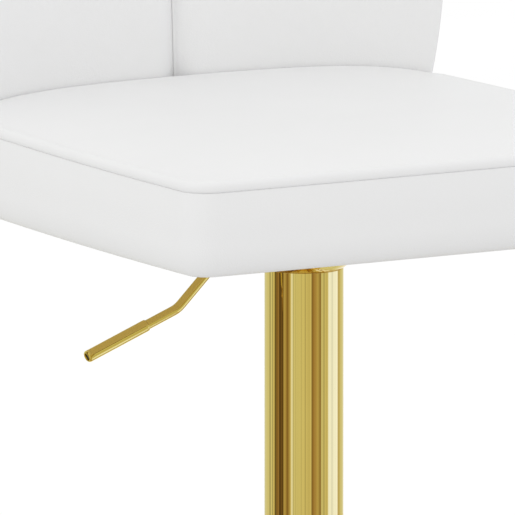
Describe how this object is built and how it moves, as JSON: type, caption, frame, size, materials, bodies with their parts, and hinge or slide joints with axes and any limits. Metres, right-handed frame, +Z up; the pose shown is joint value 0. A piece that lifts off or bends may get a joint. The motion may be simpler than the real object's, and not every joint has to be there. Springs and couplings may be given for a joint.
{
  "type": "bar stool with footrest",
  "caption": "Swivel bar stool with an upholstered seat and low back on a gas-lift column, with a side release lever, a looped footrest and a round trumpet base.",
  "frame": {"origin": "on the floor, on the axis of the column", "axes": "+Z up the column, -Y the way the sitter faces, -X the side of the release lever"},
  "size_m": [0.4448, 0.5286, 0.9544],
  "materials": {
    "gold_plated_steel": "polished",
    "white_faux_leather": "satin",
    "zinc_steel": "satin",
    "bright_steel": "polished",
    "black_plastic": "matte",
    "red_plastic": "satin",
    "black_rubber": "matte",
    "plywood": "matte",
    "pale_cloth": "matte"
  },
  "bodies": {
    "base": {"base_shell": "gold_plated_steel", "base_plate": "zinc_steel", "base_floor_pad": "black_rubber", "column_socket": "zinc_steel", "neck_ring": "gold_plated_steel", "column_tube": "gold_plated_steel", "tube_floor_plate": "zinc_steel", "guide_bushing": "black_plastic", "bearing_lower_race": "bright_steel"},
    "lift_rod": {"piston_rod": "bright_steel", "piston": "bright_steel", "piston_seal": "black_rubber", "piston_nut": "zinc_steel", "bearing_balls": "bright_steel", "bearing_upper_race": "bright_steel", "rod_buffer": "black_rubber", "rod_clip": "zinc_steel"},
    "seat_carriage": {"gas_cylinder": "bright_steel", "cylinder_cap": "bright_steel", "cylinder_end_guide": "black_plastic", "column_collar": "gold_plated_steel", "column_sleeve": "gold_plated_steel", "sleeve_guide_ring": "black_plastic", "footrest_collar": "gold_plated_steel", "footrest_bar": "gold_plated_steel", "footrest_screws": "zinc_steel", "seat_plate": "zinc_steel", "taper_hub": "zinc_steel", "lever_ears": "zinc_steel", "lever_pivot_pin": "zinc_steel", "pin_clips": "zinc_steel", "plate_bolts": "zinc_steel", "plate_washers": "zinc_steel", "tee_nuts": "zinc_steel", "bracket_bolts": "zinc_steel", "seat_board": "plywood", "seat_body": "white_faux_leather", "seat_cushion": "white_faux_leather", "seat_dust_cover": "pale_cloth", "back_board": "plywood", "back_pad_left": "white_faux_leather", "back_pad_right": "white_faux_leather", "back_rear_cover": "white_faux_leather", "back_brackets": "zinc_steel", "back_bolts": "zinc_steel"},
    "lever": {"lever_rod": "gold_plated_steel", "lever_grip": "gold_plated_steel"},
    "release_button": {"release_button": "red_plastic"}
  },
  "joints": [
    {"name": "seat_swivel", "type": "hinge", "parent": "base", "child": "lift_rod", "pos_m": [0, 0, 0.027], "axis": [0, 0, 1], "continuous": true},
    {"name": "seat_lift", "type": "slide", "parent": "lift_rod", "child": "seat_carriage", "axis": [0, 0, 1], "range_m": [0, 0.205]},
    {"name": "lever_pull", "type": "hinge", "parent": "seat_carriage", "child": "lever", "pos_m": [-0.04, 0, 0.522], "axis": [0, 1, 0], "range_deg": [0, 6], "stiffness_Nm_per_rad": 2, "springref_deg": -5.73},
    {"name": "button_press", "type": "slide", "parent": "seat_carriage", "child": "release_button", "axis": [0, 0, -1], "range_m": [0, 0.0045]}
  ],
  "couplings": [
    {"joint": "button_press", "follows": "lever_pull", "m_per_rad": 0.0405}
  ]
}
